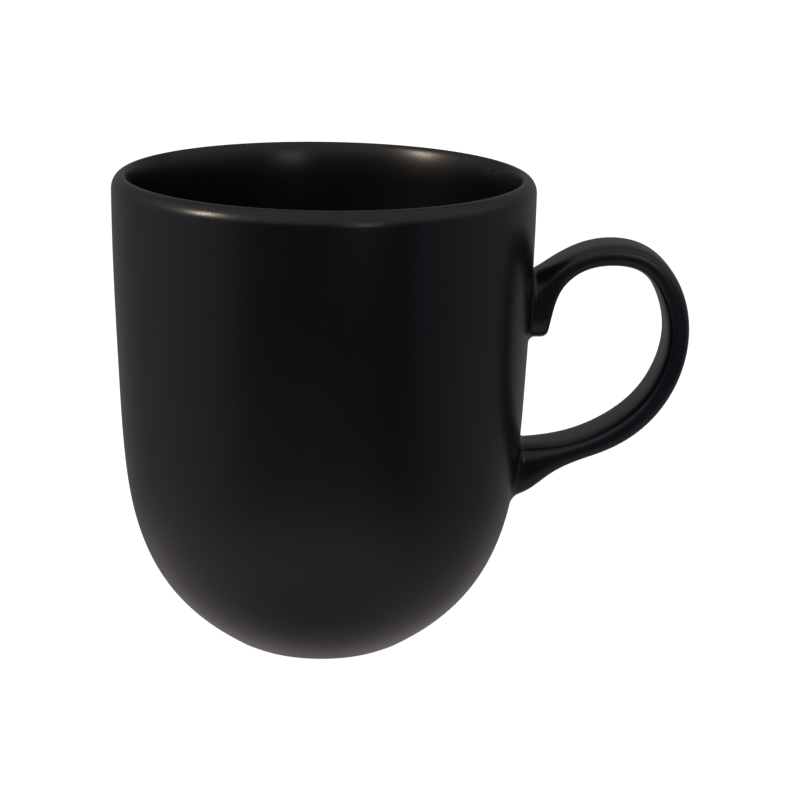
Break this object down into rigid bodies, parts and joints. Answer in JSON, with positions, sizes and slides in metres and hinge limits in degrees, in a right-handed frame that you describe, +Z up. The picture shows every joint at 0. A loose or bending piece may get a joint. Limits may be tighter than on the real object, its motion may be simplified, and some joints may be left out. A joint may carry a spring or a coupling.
{
  "type": "ceramic mug",
  "caption": "Round-bottomed stoneware mug with a tapered rim, a looped strap handle and a small bare standing ring.",
  "frame": {"origin": "centre of the standing ring, on the plane the mug rests on", "axes": "+Z up along the cup's axis, +X towards the handle, +Y completes the right-handed frame"},
  "size_m": [0.1211, 0.088, 0.1002],
  "materials": {
    "bare_clay": "bare fired stoneware, fine and dry",
    "joint_slip": "fired joining slip",
    "black_glaze": "satin black glaze with a soft, slightly grainy sheen"
  },
  "bodies": {
    "root": {"cup_body": "bare_clay", "handle": "bare_clay", "upper_slip_joint": "joint_slip", "lower_slip_joint": "joint_slip", "outer_glaze": "black_glaze", "inner_glaze": "black_glaze", "base_glaze": "black_glaze", "handle_glaze": "black_glaze"}
  },
  "joints": []
}
